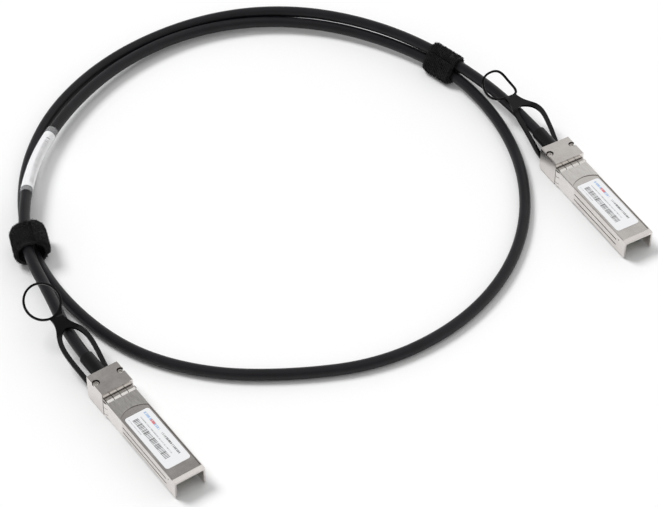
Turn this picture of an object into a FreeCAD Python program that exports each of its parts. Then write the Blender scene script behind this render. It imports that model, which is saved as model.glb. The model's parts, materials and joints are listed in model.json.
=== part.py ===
"""Direct attach copper cable: two SFP+ plugs joined by a twinax cable of about one metre.

Each plug is modelled in its own frame: x runs from the tip of the nose back towards the cable,
y across the plug and z up from the surface that the plug lies on. put() then sets each plug
where it lies. Plug A lies along the Y axis, with its nose towards -Y; plug B lies beside it.
"""

import FreeCAD
import Part

import math
import os

V = FreeCAD.Vector

# ---------------------------------------------------------------- plug body, mm
PLUG_LENGTH = 61.5          # tip of the nose to the back of the head
BODY_WIDTH = 13.5
BODY_HEIGHT = 8.5
BODY_BOTTOM = 0.5           # the head is this much deeper than the body below
SIDE_WALL = 1.1
ROOF = 1.3
FLOOR = 1.0
SPLIT_HEIGHT = 4.9          # parting plane of the two castings along the body
EDGE_ROUND = 0.35

NOSE_LENGTH = 10.5          # open channel that covers the end of the card
NOSE_WALL = 0.8
NOSE_ROOF = 1.4
NOSE_SLOPE_LENGTH = 1.8     # the roof slopes down to the nose edge
NOSE_SLOPE_DROP = 0.5
LIP_LENGTH = 2.3            # plain band between the nose edge and the label pocket

HEAD_LENGTH = 11.3
HEAD_FRONT = PLUG_LENGTH - HEAD_LENGTH
HEAD_FRONT_WALL = 1.2
HEAD_WIDTH = 13.8
HEAD_TOP = 11.65
HEAD_ROUND = 0.5
HEAD_HEEL_ROUND = 1.6       # lower back edge of the head

POCKET_DEPTH = 0.3
POCKET_RIM = 0.55
POCKET_BACK = HEAD_FRONT - 11.8     # where the arc meets the rims
POCKET_ARC_RISE = 2.2
LABEL_WIDTH = 10.9
LABEL_THICKNESS = 0.1
LABEL_CORNER = 1.2
LABEL_FRONT = 7.3
LABEL_BACK = POCKET_BACK - 1.3

COLLAR_FRONT = HEAD_FRONT - 13.4
GROOVE_FRONT = 6.0
GROOVE_BACK = COLLAR_FRONT - 0.6
GROOVE_WIDTH = 0.5
GROOVE_DEPTH = 0.25
GROOVE_HEIGHTS = (2.6, 5.4)
DIMPLE_RADIUS = 0.3
DIMPLE_FROM_TIP = 4.4

# ---------------------------------------------------------------- spring collar
SHEET = 0.2
FINGER_LENGTH = 2.9
FINGER_RISE = 0.42
FINGER_SLIT = 0.25
FINGER_TIP_GAP = 0.15
TOP_FINGERS = 4
SIDE_FINGER_BREAKS = (0.9, 2.4, 5.8, 8.6)
BELOW_FINGER_INNER = 2.7

# ---------------------------------------------------------------- card and wires
CARD_LENGTH = 28.0
CARD_SIDE_GAP = 0.15
CARD_WIDTH = BODY_WIDTH - 2 * SIDE_WALL - 2 * CARD_SIDE_GAP
CARD_THICKNESS = 1.0
CARD_FRONT = 2.5
CARD_BOTTOM = 3.9
LEDGE_FRONT = 12.0
LEDGE_LENGTH = 16.0
POST_RADIUS = 0.7
POST_ACROSS = 4.2
POST_ALONG = 16.0
PAD_LENGTH = 2.2
PAD_WIDTH = 0.54
PAD_PITCH = 0.8
PAD_THICKNESS = 0.05
PAD_SETBACK = 0.4
PADS_PER_SIDE = 10
CHIP_SIZE = (3.9, 3.0, 0.9)
CHIP_FRONT = 17.0
CAPACITOR_SIZE = (1.0, 0.5, 0.5)
CAPACITOR_FRONT = 12.5
CAPACITOR_PITCH = 1.5
WIRE_RADIUS = 0.5
WIRE_PITCH = 1.15
WIRE_FRONT = 27.0
WIRE_BEND_BACK = HEAD_FRONT - 3.7
WIRE_BEND_LENGTH = 12.0
WIRE_BEND_FRONT = WIRE_BEND_BACK - WIRE_BEND_LENGTH
WIRE_SLOT_HALF_WIDTH = 2.4
WIRE_TOP_DROP = 0.55        # wires leave the braid this far below its axis

# ---------------------------------------------------------------- cable, boot and crimp
CABLE_RADIUS = 2.35
CABLE_AXIS = 7.5
CABLE_START = PLUG_LENGTH + 4.0     # the jacket ends inside the boot
BRAID_RADIUS = CABLE_RADIUS - 0.6
BRAID_FRONT = HEAD_FRONT + 1.8
FERRULE_WALL = 0.5
FERRULE_FRONT = BRAID_FRONT + 0.6
FERRULE_LENGTH = 3.6
BOOT_RADIUS = CABLE_RADIUS + 0.6
BOOT_END = PLUG_LENGTH + 12.0
BOOT_FLANGE_RADIUS = BOOT_RADIUS + 0.7
BOOT_FLANGE_LENGTH = 1.6
BOOT_FLANGE_FRONT = HEAD_FRONT + 7.0
BOOT_ROUND = 0.35
FIT = 0.05                  # sliding or assembly clearance

# ---------------------------------------------------------------- screws
SCREW_FROM_BACK = 4.7
SCREW_ACROSS = 5.5
SCREW_HEAD_RADIUS = 1.2
SCREW_HEAD_HEIGHT = 0.7
SCREW_DOME = 0.4
SCREW_SHANK_RADIUS = 0.8
SCREW_TIP = 5.2
SCREW_HEAD_DEPTH = 0.4
COUNTERBORE_RADIUS = 1.5
RECESS_LENGTH = 1.5
RECESS_WIDTH = 0.36
RECESS_DEPTH = 0.4

# ---------------------------------------------------------------- latch and release
PULL_TRAVEL = 2.5
LATCH_TURN = 6.5            # degrees
LEVER_FRONT = HEAD_FRONT - 11.2
LEVER_BACK = HEAD_FRONT + 3.4
LEVER_HALF_WIDTH = 1.9
LEVER_BOTTOM = 1.75
LEVER_THICKNESS = 0.8
PIVOT_FROM_TIP = HEAD_FRONT - 3.4
PIVOT_HEIGHT = 2.15
HUB_RADIUS = 0.85
PIN_RADIUS = 0.4
PIN_HALF_LENGTH = 3.2
RUNNING = 0.05
BOSS_SHOULDER = HEAD_FRONT - 8.4
BOSS_LENGTH = 2.6
BOSS_HALF_WIDTH = 1.3
BOSS_BOTTOM = 0.05
RAMP_FRONT = HEAD_FRONT + 0.4
RAMP_LENGTH = 2.3
RAMP_SLOPE = 0.29
LATCH_BAY_HALF_WIDTH = 2.2
LATCH_BAY_BOTTOM = 0.9
LATCH_BAY_FRONT = HEAD_FRONT - 11.7
LATCH_BAY_BACK = HEAD_FRONT + 4.2
WINDOW_BACK = HEAD_FRONT - 7.9
WINDOW_HALF_WIDTH = 1.6

SLIDER_BOTTOM = 3.15
SLIDER_THICKNESS = 0.8
SLIDER_BAR_FRONT = HEAD_FRONT - 4.0
SLIDER_BAR_LENGTH = 2.2
SLIDER_LEG_INNER = 3.9
SLIDER_LEG_OUTER = 5.4
SLIDER_LEG_BACK = PLUG_LENGTH - 1.5
SLIDER_CLEAR = 0.15
CAM_FRONT = HEAD_FRONT - 0.8
CAM_BACK = HEAD_FRONT + 0.2
CAM_BOTTOM = 2.65
CAM_HALF_WIDTH = 1.5
TONGUE_LENGTH = 3.0
TONGUE_WIDTH = 0.9
TONGUE_THICKNESS = 0.4

SPRING_THICKNESS = 0.2
SPRING_HALF_WIDTH = 1.3
SPRING_FOOT_LENGTH = 3.0
SPRING_CREST = HEAD_FRONT - 13.0
SPRING_REACH = 6.7          # from the front of the foot to the crest
SPRING_FOOT = SPRING_CREST - SPRING_REACH
SPRING_CREST_HEIGHT = 3.3
SPRING_TOUCH = HEAD_FRONT - 10.2

# ---------------------------------------------------------------- pull tab
TAB_THICKNESS = 0.85
TAB_ARM_WIDTH = 1.9
TAB_ARM_OUTER = 5.6
TAB_ARM_HEIGHT = 3.55       # middle of the arms where they enter the head
TAB_ARM_STRAIGHT = 3.5      # length of the straight arms behind the head
TAB_WAIST_HEIGHT = CABLE_AXIS + CABLE_RADIUS + 1.0      # middle of the plate above the cable
TAB_RISE_REACH = 24.0       # where the arms have risen to the plate, behind the head
TAB_FOLD_REACH = 34.0       # the hoop stands up from here on
TAB_RISE_END = PLUG_LENGTH + TAB_RISE_REACH
TAB_FOLD = PLUG_LENGTH + TAB_FOLD_REACH
TAB_FOLD_ANGLE = 33.0
TAB_NECK_HALF_WIDTH = 2.7
TAB_BEND = 12.0
# Half width of the tab's outline and of its opening, at distances behind the head.
OUTLINE_EVEN = ((6.5, 5.9), (10.5, 6.4), (16.5, 6.9), (21.0, 6.6), (24.5, 5.4), (28.0, 3.7), (31.5, 2.8))
OPENING_EVEN = ((4.5, 3.8), (10.5, 4.5), (16.5, 5.0), (20.5, 4.7), (23.5, 3.5), (25.5, 1.8))
OUTLINE_FLAT = ((6.5, 5.5), (10.5, 5.2), (16.5, 4.9), (21.0, 4.8), (24.5, 4.4), (28.0, 3.5), (31.5, 2.8))
OPENING_FLAT = ((4.5, 3.6), (10.5, 3.3), (16.5, 3.1), (20.5, 2.9), (23.5, 2.4), (25.5, 1.4))
OUTLINE_BOWED = ((6.5, 6.3), (10.5, 7.2), (16.5, 8.2), (21.0, 8.3), (24.5, 7.0), (28.0, 4.6), (31.5, 3.0))
OPENING_BOWED = ((4.5, 4.1), (10.5, 5.3), (16.5, 6.3), (20.5, 6.3), (23.5, 4.8), (25.5, 2.4))
OPENING_END = 26.3
HOOP_BAND = 1.3
HOOP_RADIUS = 7.9
HOOP_CENTRE = (7.8, 2.0)    # from the fold, along the hoop's own plane
PRESSED_HOOP = ((0.4, -3.6), (13.0, -1.0), (14.6, 4.6), (11.6, 10.4), (4.6, 10.9), (1.2, 8.4))
PRESSED_RADII = (1.8, 2.6, 3.0, 3.0, 3.6, 3.6)
HOOP_FILLET = 2.2           # the neck widens into the hoop

# ---------------------------------------------------------------- straps
LEFT_STRAP_WIDTH = 12.4
UPPER_STRAP_WIDTH = 14.2
STRAP_SHEET = 1.2
STRAP_LAP = 0.9
STRAP_LAP_INSET = 0.4
STRAP_SLACK = 0.3
LEFT_STRAP_SIZE = (13.4, 12.4)
LEFT_STRAP_RADII = (5.8, 5.8, 5.8, 5.8)
UPPER_STRAP_SHEET = 1.1
UPPER_STRAND_LOW = (1.95, 3.9)
UPPER_STRAND_HIGH = (-0.55, 8.05)

# ---------------------------------------------------------------- cable label
SLEEVE_START = 104.0        # distance along the cable from its end in plug A
SLEEVE_LENGTH = 41.5
SLEEVE_BORDER = 3.0
PAPER_THICKNESS = 0.15
FILM_THICKNESS = 0.2

# ---------------------------------------------------------------- where things lie
LEFT_STRAP = (-97.0, 87.45)
LEFT_STRAP_YAW = 69.7
UPPER_STRAP = (107.0, 78.1)
UPPER_STRAP_YAW = 101.0

# The cable's route: corners of the path from plug A round the loop to plug B.
ROUTE = (
    (-111.0, 12.1, 7.5),
    (-111.0, 32.6, 7.5),
    (-105.7, 55.6, 7.7),
    (-101.4, 82.6, 8.9),
    (-86.6, 109.0, 8.4),
    (-66.6, 131.6, 5.95),
    (-38.7, 150.2, 4.8),
    (-7.2, 161.1, 4.35),
    (25.9, 162.0, 4.1),
    (57.0, 150.9, 3.9),
    (81.7, 129.6, 3.85),
    (98.7, 101.3, 3.95),
    (107.8, 70.4, 3.95),
    (105.9, 37.4, 2.9),
    (94.7, 6.6, 2.45),
    (74.3, -20.0, 2.42),
    (46.9, -38.6, 2.42),
    (14.9, -47.2, 2.42),
    (-18.1, -44.9, 2.42),
    (-47.7, -30.7, 2.42),
    (-74.2, -11.5, 2.42),
    (-92.8, 14.2, 2.5),
    (-100.4, 44.6, 3.2),
    (-100.1, 75.9, 4.3),
    (-90.2, 105.6, 3.15),
    (-72.1, 132.8, 2.5),
    (-46.2, 154.3, 2.65),
    (-14.0, 166.1, 3.55),
    (18.4, 167.4, 4.55),
    (48.2, 160.0, 5.6),
    (72.5, 143.9, 6.9),
    (90.9, 121.5, 7.8),
    (103.6, 95.2, 8.2),
    (110.2, 67.3, 7.95),
    (113.0, 38.6, 7.5),
    (110.44, 10.335, 7.5),
)
ARC_SHARE = 0.45            # share of the shorter run that each bend takes

# ---------------------------------------------------------------- worked out from the above
BODY_TOP = BODY_BOTTOM + BODY_HEIGHT
HALF_BODY = BODY_WIDTH / 2
HALF_HEAD = HEAD_WIDTH / 2
FLOOR_TOP = BODY_BOTTOM + FLOOR
CARD_TOP = CARD_BOTTOM + CARD_THICKNESS
POCKET_FLOOR = BODY_TOP - POCKET_DEPTH
LEVER_TOP = LEVER_BOTTOM + LEVER_THICKNESS
SLIDER_TOP = SLIDER_BOTTOM + SLIDER_THICKNESS
FINGER_FRONT = HEAD_FRONT - FINGER_LENGTH


def block(x0, x1, y0, y1, z0, z1):
    """Box between two corners."""
    return Part.makeBox(x1 - x0, y1 - y0, z1 - z0, V(x0, y0, z0))


def mirrored(shape):
    """The same shape on the other side of the plug's middle plane."""
    return shape.mirror(V(0, 0, 0), V(0, 1, 0))


def both_sides(shape):
    """A shape and its mirror image across the plug."""
    return [shape, mirrored(shape)]


def rod(x0, x1, radius, y=0.0, z=CABLE_AXIS):
    """Cylinder along the plug's length."""
    return Part.makeCylinder(radius, x1 - x0, V(x0, y, z), V(1, 0, 0))


def upright(x, y, z0, z1, radius):
    """Standing cylinder."""
    return Part.makeCylinder(radius, z1 - z0, V(x, y, z0), V(0, 0, 1))


def rounded_outline(points, radii):
    """Closed wire through the corner points, each corner rounded by its own radius."""
    edges = []
    starts = []
    ends = []
    count = len(points)
    for i in range(count):
        before = points[i - 1]
        here = points[i]
        after = points[(i + 1) % count]
        back = (before - here).normalize()
        on = (after - here).normalize()
        half = back.getAngle(on) / 2
        reach = radii[i] / math.tan(half)
        bisector = (back + on).normalize()
        centre = here + bisector * (radii[i] / math.sin(half))
        starts.append(here + back * reach)
        ends.append(here + on * reach)
        middle = centre - bisector * radii[i]
        edges.append(Part.Arc(starts[i], middle, ends[i]).toShape())
    for i in range(count):
        following = starts[(i + 1) % count]
        edges.append(Part.LineSegment(ends[i], following).toShape())
    return Part.Wire(Part.__sortEdges__(edges))


def strip_profile(centre_line, thickness, bend):
    """Face of a bent strip seen from the side: a centre line of (x, z) corners given a thickness."""
    def offset(side):
        line = []
        last = len(centre_line) - 1
        for i, (x, z) in enumerate(centre_line):
            here = V(x, 0, z)
            directions = []
            if i > 0:
                directions.append((here - V(centre_line[i - 1][0], 0, centre_line[i - 1][1])).normalize())
            if i < last:
                directions.append((V(centre_line[i + 1][0], 0, centre_line[i + 1][1]) - here).normalize())
            normals = [V(-d.z, 0, d.x) for d in directions]
            if len(normals) == 1:
                line.append(here + normals[0] * (side * thickness / 2))
                continue
            middle = (normals[0] + normals[1]).normalize()
            stretch = 1 / middle.dot(normals[0])
            line.append(here + middle * (side * thickness / 2 * stretch))
        return line

    def open_path(line, side):
        edges = []
        at = line[0]
        for i in range(1, len(line) - 1):
            back = (line[i - 1] - line[i]).normalize()
            on = (line[i + 1] - line[i]).normalize()
            half = back.getAngle(on) / 2
            turns_up = back.cross(on).y > 0
            grows = side if turns_up else -side
            radius = bend + grows * thickness / 2
            reach = radius / math.tan(half)
            bisector = (back + on).normalize()
            centre = line[i] + bisector * (radius / math.sin(half))
            first = line[i] + back * reach
            second = line[i] + on * reach
            edges.append(Part.LineSegment(at, first).toShape())
            edges.append(Part.Arc(first, centre - bisector * radius, second).toShape())
            at = second
        edges.append(Part.LineSegment(at, line[-1]).toShape())
        return edges

    upper = offset(1)
    lower = offset(-1)
    edges = open_path(upper, 1) + open_path(lower, -1)
    edges.append(Part.LineSegment(upper[0], lower[0]).toShape())
    edges.append(Part.LineSegment(upper[-1], lower[-1]).toShape())
    return Part.Face(Part.Wire(Part.__sortEdges__(edges)))


def strip(centre_line, thickness, bend, half_width):
    """Bent strip, centred on the plug's middle plane."""
    face = strip_profile(centre_line, thickness, bend)
    face.translate(V(0, -half_width, 0))
    return face.extrude(V(0, 2 * half_width, 0))


def plan_face(points, radii):
    """Flat face with rounded corners, seen from above."""
    return Part.Face(rounded_outline([V(x, y, 0) for x, y in points], radii))


def slab(face, z0, z1):
    """Flat face raised to a slab between two heights."""
    solid = face.extrude(V(0, 0, z1 - z0))
    solid.translate(V(0, 0, z0))
    return solid


def cut_all(shape, tools):
    """Shape less every tool."""
    for tool in tools:
        shape = shape.cut(tool)
    return shape


# ---------------------------------------------------------------- castings
def pocket_face(inset):
    """Label pocket seen from above: straight rims and an arc-shaped back end."""
    half = HALF_BODY - POCKET_RIM - inset
    front = LIP_LENGTH + inset
    back = POCKET_BACK - inset
    corners = [V(front, -half, 0), V(back, -half, 0), V(back, half, 0), V(front, half, 0)]
    edges = [
        Part.LineSegment(corners[0], corners[1]).toShape(),
        Part.Arc(corners[1], V(back + POCKET_ARC_RISE, 0, 0), corners[2]).toShape(),
        Part.LineSegment(corners[2], corners[3]).toShape(),
        Part.LineSegment(corners[3], corners[0]).toShape(),
    ]
    return Part.Face(Part.Wire(edges))


def body_block(x0, x1, z0, z1, edges_at):
    """Length of the plug's body with its long edges rounded at the given height."""
    shape = block(x0, x1, -HALF_BODY, HALF_BODY, z0, z1)
    chosen = []
    for edge in shape.Edges:
        low = edge.BoundBox
        if low.XLength > 1 and abs(low.ZMin - edges_at) < 1e-6 and abs(low.ZMax - edges_at) < 1e-6:
            chosen.append(edge)
    return shape.makeFillet(EDGE_ROUND, chosen)


def collar_seat():
    """What the castings give up so that the spring collar lies flush: a band round the body."""
    outer = block(COLLAR_FRONT, HEAD_FRONT, -HALF_BODY - 1, HALF_BODY + 1, BODY_BOTTOM - 1, BODY_TOP + 1)
    return outer.cut(collar_core(COLLAR_FRONT - 1, HEAD_FRONT + 1))


def collar_core(x0, x1):
    """Body section inside the spring collar."""
    return block(x0, x1, -HALF_BODY + SHEET, HALF_BODY - SHEET, BODY_BOTTOM + SHEET, BODY_TOP - SHEET)


def side_grooves():
    """Long shallow grooves along both flanks, and a dimple near the tip."""
    tools = []
    for height in GROOVE_HEIGHTS:
        z0 = BODY_BOTTOM + height - GROOVE_WIDTH / 2
        groove = block(GROOVE_FRONT, GROOVE_BACK, HALF_BODY - GROOVE_DEPTH, HALF_BODY + 1, z0, z0 + GROOVE_WIDTH)
        tools += both_sides(groove)
    dimple = Part.makeCylinder(DIMPLE_RADIUS, 1, V(DIMPLE_FROM_TIP, HALF_BODY - GROOVE_DEPTH,
                                                   BODY_TOP - 2 * FLOOR), V(0, 1, 0))
    return tools + both_sides(dimple)


def screw_places():
    """Middle of each screw, seen from above."""
    x = PLUG_LENGTH - SCREW_FROM_BACK
    return [(x, SCREW_ACROSS), (x, -SCREW_ACROSS)]


def head_block():
    """Whole outline of the head, before it is split."""
    head = block(HEAD_FRONT, PLUG_LENGTH, -HALF_HEAD, HALF_HEAD, 0, HEAD_TOP)
    heel = []
    corners = []
    for edge in head.Edges:
        box = edge.BoundBox
        if box.YLength > 1 and box.XMin > PLUG_LENGTH - 1e-6 and box.ZMax < 1e-6:
            heel.append(edge)
        if box.ZLength > 1 and box.XMin > PLUG_LENGTH - 1e-6:
            corners.append(edge)
    head = head.makeFillet(HEAD_HEEL_ROUND, heel)
    long_edges = []
    for edge in head.Edges:
        box = edge.BoundBox
        if box.XLength > 1 and box.ZMin > HEAD_TOP - 1e-6:
            long_edges.append(edge)
    return head.makeFillet(HEAD_ROUND / 2, long_edges)


def boot_room():
    """Space for the boot, the crimp and the wires inside the head."""
    return [
        rod(BOOT_FLANGE_FRONT - 1, PLUG_LENGTH + 1, BOOT_RADIUS + FIT),
        rod(BOOT_FLANGE_FRONT - FIT, BOOT_FLANGE_FRONT + BOOT_FLANGE_LENGTH + FIT, BOOT_FLANGE_RADIUS + FIT),
        rod(HEAD_FRONT + HEAD_FRONT_WALL, BOOT_FLANGE_FRONT, BRAID_RADIUS + FERRULE_WALL + 2 * FIT),
    ]


def top_housing():
    """Upper casting: nose, roof with the label pocket, upper walls and the head's cap."""
    roof = body_block(0, HEAD_FRONT, SPLIT_HEIGHT, BODY_TOP, BODY_TOP)
    nose = block(0, NOSE_LENGTH, -HALF_BODY, HALF_BODY, BODY_BOTTOM, SPLIT_HEIGHT)
    shape = roof.fuse(nose)
    low = BODY_TOP - NOSE_SLOPE_DROP
    slope = [V(-1, -BODY_WIDTH, low), V(0, -BODY_WIDTH, low), V(NOSE_SLOPE_LENGTH, -BODY_WIDTH, BODY_TOP),
             V(NOSE_SLOPE_LENGTH, -BODY_WIDTH, BODY_TOP + 1), V(-1, -BODY_WIDTH, BODY_TOP + 1)]
    shape = shape.cut(Part.Face(Part.makePolygon(slope + [slope[0]])).extrude(V(0, 2 * BODY_WIDTH, 0)))
    shape = shape.cut(collar_seat())
    cap = head_block().common(block(HEAD_FRONT, PLUG_LENGTH, -10, 10, CABLE_AXIS, HEAD_TOP))
    shape = shape.fuse(cap)
    inner = HALF_BODY - SIDE_WALL
    tools = [
        block(-1, NOSE_LENGTH, -HALF_BODY + NOSE_WALL, HALF_BODY - NOSE_WALL, 0, BODY_TOP - NOSE_ROOF),
        block(NOSE_LENGTH - 1, HEAD_FRONT - SIDE_WALL, -inner, inner, 0, BODY_TOP - ROOF),
        block(HEAD_FRONT - 2 * SIDE_WALL, HEAD_FRONT + 2 * HEAD_FRONT_WALL, -WIRE_SLOT_HALF_WIDTH,
              WIRE_SLOT_HALF_WIDTH, 0, BODY_TOP - ROOF),
        slab(pocket_face(0), POCKET_FLOOR, BODY_TOP + 1),
    ]
    tools += side_grooves()
    tools += boot_room()
    for x, y in screw_places():
        tools.append(upright(x, y, CABLE_AXIS - 1, HEAD_TOP + 1, SCREW_SHANK_RADIUS + 2 * FIT))
        seat = HEAD_TOP - SCREW_HEAD_DEPTH - SCREW_HEAD_HEIGHT
        tools.append(upright(x, y, seat, HEAD_TOP + 1, COUNTERBORE_RADIUS))
    shape = cut_all(shape, tools)
    for side in (-1, 1):
        post = upright(POST_ALONG, side * POST_ACROSS, CARD_TOP, BODY_TOP - ROOF, POST_RADIUS)
        shape = shape.fuse(post)
    return shape.removeSplitter()


def bottom_housing():
    """Lower casting: tray under the card, bay for the latch and the head's lower half."""
    tray = body_block(NOSE_LENGTH, HEAD_FRONT, BODY_BOTTOM, SPLIT_HEIGHT, BODY_BOTTOM)
    tray = tray.cut(collar_seat())
    head = head_block().common(block(HEAD_FRONT, PLUG_LENGTH, -10, 10, 0, CABLE_AXIS))
    shape = tray.fuse(head)
    inner = HALF_BODY - SIDE_WALL
    slot_low = SLIDER_BOTTOM - SLIDER_CLEAR
    slot_high = SLIDER_TOP + SLIDER_CLEAR
    leg_in = min(SLIDER_LEG_INNER, TAB_ARM_OUTER - TAB_ARM_WIDTH) - SLIDER_CLEAR
    leg_out = max(SLIDER_LEG_OUTER, TAB_ARM_OUTER) + SLIDER_CLEAR
    bar_front = SLIDER_BAR_FRONT - 2 * SLIDER_CLEAR
    bar_back = SLIDER_BAR_FRONT + SLIDER_BAR_LENGTH + PULL_TRAVEL + 2 * SLIDER_CLEAR
    tools = [
        block(NOSE_LENGTH + SIDE_WALL, LATCH_BAY_FRONT - FLOOR, -inner, inner, FLOOR_TOP, SPLIT_HEIGHT + 1),
        block(LATCH_BAY_FRONT - FLOOR - 1, bar_front, -inner, inner, slot_low, SPLIT_HEIGHT + 1),
        block(bar_front - 1, bar_back, -leg_out, leg_out, slot_low, slot_high),
        block(LATCH_BAY_FRONT - FLOOR - 1, LATCH_BAY_BACK, -LATCH_BAY_HALF_WIDTH, LATCH_BAY_HALF_WIDTH,
              LATCH_BAY_BOTTOM, slot_high),
        block(NOSE_LENGTH - 1, NOSE_LENGTH + 2 * SIDE_WALL, -CARD_WIDTH / 2 - FIT, CARD_WIDTH / 2 + FIT,
              CARD_BOTTOM, SPLIT_HEIGHT + 1),
        block(LATCH_BAY_FRONT, WINDOW_BACK, -WINDOW_HALF_WIDTH, WINDOW_HALF_WIDTH, 0, FLOOR_TOP),
        block(HEAD_FRONT - 1, BOOT_FLANGE_FRONT - 1, -WIRE_SLOT_HALF_WIDTH, WIRE_SLOT_HALF_WIDTH,
              slot_high - SLIDER_THICKNESS, CABLE_AXIS + 1),
    ]
    tools += both_sides(block(bar_back - 1, PLUG_LENGTH + 1, leg_in, leg_out, slot_low, slot_high))
    tools += side_grooves()
    tools += boot_room()
    for x, y in screw_places():
        tools.append(upright(x, y, SCREW_TIP, CABLE_AXIS + 1, SCREW_SHANK_RADIUS))
    shape = cut_all(shape, tools)
    ledge = block(LEDGE_FRONT, LEDGE_FRONT + LEDGE_LENGTH, CARD_WIDTH / 2 - SIDE_WALL, inner,
                  FLOOR_TOP, CARD_BOTTOM)
    for part in both_sides(ledge):
        shape = shape.fuse(part)
    lug_width = PIN_HALF_LENGTH - LATCH_BAY_HALF_WIDTH
    lug = block(PIVOT_FROM_TIP - 2 * PIN_RADIUS, PIVOT_FROM_TIP + 2 * PIN_RADIUS, LATCH_BAY_HALF_WIDTH,
                LATCH_BAY_HALF_WIDTH + lug_width, LATCH_BAY_BOTTOM, slot_low)
    for part in both_sides(lug):
        shape = shape.fuse(part)
    pin_hole = Part.makeCylinder(PIN_RADIUS, 2 * PIN_HALF_LENGTH,
                                 V(PIVOT_FROM_TIP, -PIN_HALF_LENGTH, PIVOT_HEIGHT), V(0, 1, 0))
    return shape.cut(pin_hole).removeSplitter()


# ---------------------------------------------------------------- spring collar
def finger(width):
    """One spring finger on the roof, at y from 0 to its width."""
    tip = HEAD_FRONT - FINGER_TIP_GAP
    low = BODY_TOP - SHEET
    third = (tip - FINGER_FRONT) / 3
    crest = low + FINGER_RISE
    lower = [V(FINGER_FRONT, 0, low), V(FINGER_FRONT + third, 0, crest), V(tip - third, 0, crest),
             V(tip, 0, low + SHEET / 2)]
    upper = [p + V(0, 0, SHEET) for p in reversed(lower)]
    face = Part.Face(Part.makePolygon(lower + upper + [lower[0]]))
    return face.extrude(V(0, width, 0))


def spring_collar():
    """Stamped sleeve round the body with its grounding fingers."""
    sleeve = body_block(COLLAR_FRONT, HEAD_FRONT, BODY_BOTTOM, BODY_TOP, BODY_TOP)
    sleeve = sleeve.cut(collar_core(COLLAR_FRONT - 1, HEAD_FRONT + 1))
    sleeve = sleeve.cut(slab(pocket_face(0), BODY_TOP - 2 * SHEET, BODY_TOP + 1))
    sleeve = sleeve.cut(block(LATCH_BAY_FRONT - FIT, WINDOW_BACK + FIT, -WINDOW_HALF_WIDTH - FIT,
                              WINDOW_HALF_WIDTH + FIT, 0, FLOOR_TOP))
    plain = HALF_BODY - 2 * SHEET
    sleeve = sleeve.cut(block(FINGER_FRONT, HEAD_FRONT + 1, -plain, plain, 0, BODY_TOP + 1))
    height = [BODY_BOTTOM + 2 * SHEET, BODY_TOP - 2 * SHEET]
    sleeve = sleeve.cut(block(FINGER_FRONT, HEAD_FRONT + 1, -10, 10, height[0], height[1]))
    pitch = 2 * plain / TOP_FINGERS
    pieces = []
    for i in range(TOP_FINGERS):
        one = finger(pitch - FINGER_SLIT)
        one.translate(V(0, -plain + i * pitch + FINGER_SLIT / 2, 0))
        pieces.append(one)
    below = finger(plain - BELOW_FINGER_INNER)
    below = below.mirror(V(0, 0, (BODY_TOP + BODY_BOTTOM) / 2), V(0, 0, 1))
    below.translate(V(0, BELOW_FINGER_INNER, 0))
    pieces += both_sides(below)
    for low, high in zip(SIDE_FINGER_BREAKS[:-1], SIDE_FINGER_BREAKS[1:]):
        one = finger(high - low - FINGER_SLIT)
        one.translate(V(0, 0, -BODY_TOP))
        one.rotate(V(0, 0, 0), V(1, 0, 0), -90)
        one.translate(V(0, HALF_BODY, high - FINGER_SLIT / 2))
        pieces += both_sides(one)
    for piece in pieces:
        sleeve = sleeve.fuse(piece)
    return sleeve.removeSplitter()


# ---------------------------------------------------------------- electronics
def paddle_card():
    """Printed card whose front edge is the plug's contact."""
    half = CARD_WIDTH / 2
    card = block(CARD_FRONT, CARD_FRONT + CARD_LENGTH, -half, half, CARD_BOTTOM, CARD_TOP)
    return card


def contact_pads():
    """Gold pads on both faces of the card's front edge."""
    pads = []
    first = -(PADS_PER_SIDE - 1) * PAD_PITCH / 2
    x0 = CARD_FRONT + PAD_SETBACK
    for z in (CARD_TOP, CARD_BOTTOM - PAD_THICKNESS):
        for i in range(PADS_PER_SIDE):
            y = first + i * PAD_PITCH
            pads.append(block(x0, x0 + PAD_LENGTH, y - PAD_WIDTH / 2, y + PAD_WIDTH / 2, z, z + PAD_THICKNESS))
    return Part.makeCompound(pads)


def card_chips():
    """Memory chip and a row of capacitors on the card."""
    length, width, height = CHIP_SIZE
    parts = [block(CHIP_FRONT, CHIP_FRONT + length, -width / 2, width / 2, CARD_TOP, CARD_TOP + height)]
    length, width, height = CAPACITOR_SIZE
    for i in (-1, 0, 1):
        y = i * CAPACITOR_PITCH
        parts.append(block(CAPACITOR_FRONT, CAPACITOR_FRONT + length, y - width / 2, y + width / 2,
                           CARD_TOP, CARD_TOP + height))
    return Part.makeCompound(parts)


def bent_path(points, share):
    """Wire of straight runs joined by tangent arcs; returns it with the radius of each arc."""
    edges = []
    radii = []
    at = points[0]
    for i in range(1, len(points) - 1):
        back = points[i - 1] - points[i]
        on = points[i + 1] - points[i]
        reach = share * min(back.Length, on.Length)
        back.normalize()
        on.normalize()
        half = back.getAngle(on) / 2
        radius = reach * math.tan(half)
        bisector = (back + on).normalize()
        centre = points[i] + bisector * (radius / math.sin(half))
        first = points[i] + back * reach
        second = points[i] + on * reach
        edges.append(Part.LineSegment(at, first).toShape())
        edges.append(Part.Arc(first, centre - bisector * radius, second).toShape())
        radii.append(radius)
        at = second
    edges.append(Part.LineSegment(at, points[-1]).toShape())
    return Part.Wire(edges), radii


def tube(path, radius):
    """Round rod along a path."""
    start = path.Edges[0]
    direction = start.tangentAt(start.FirstParameter)
    profile = Part.Wire(Part.makeCircle(radius, start.valueAt(start.FirstParameter), direction))
    return path.makePipeShell([profile], True, True)


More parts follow.
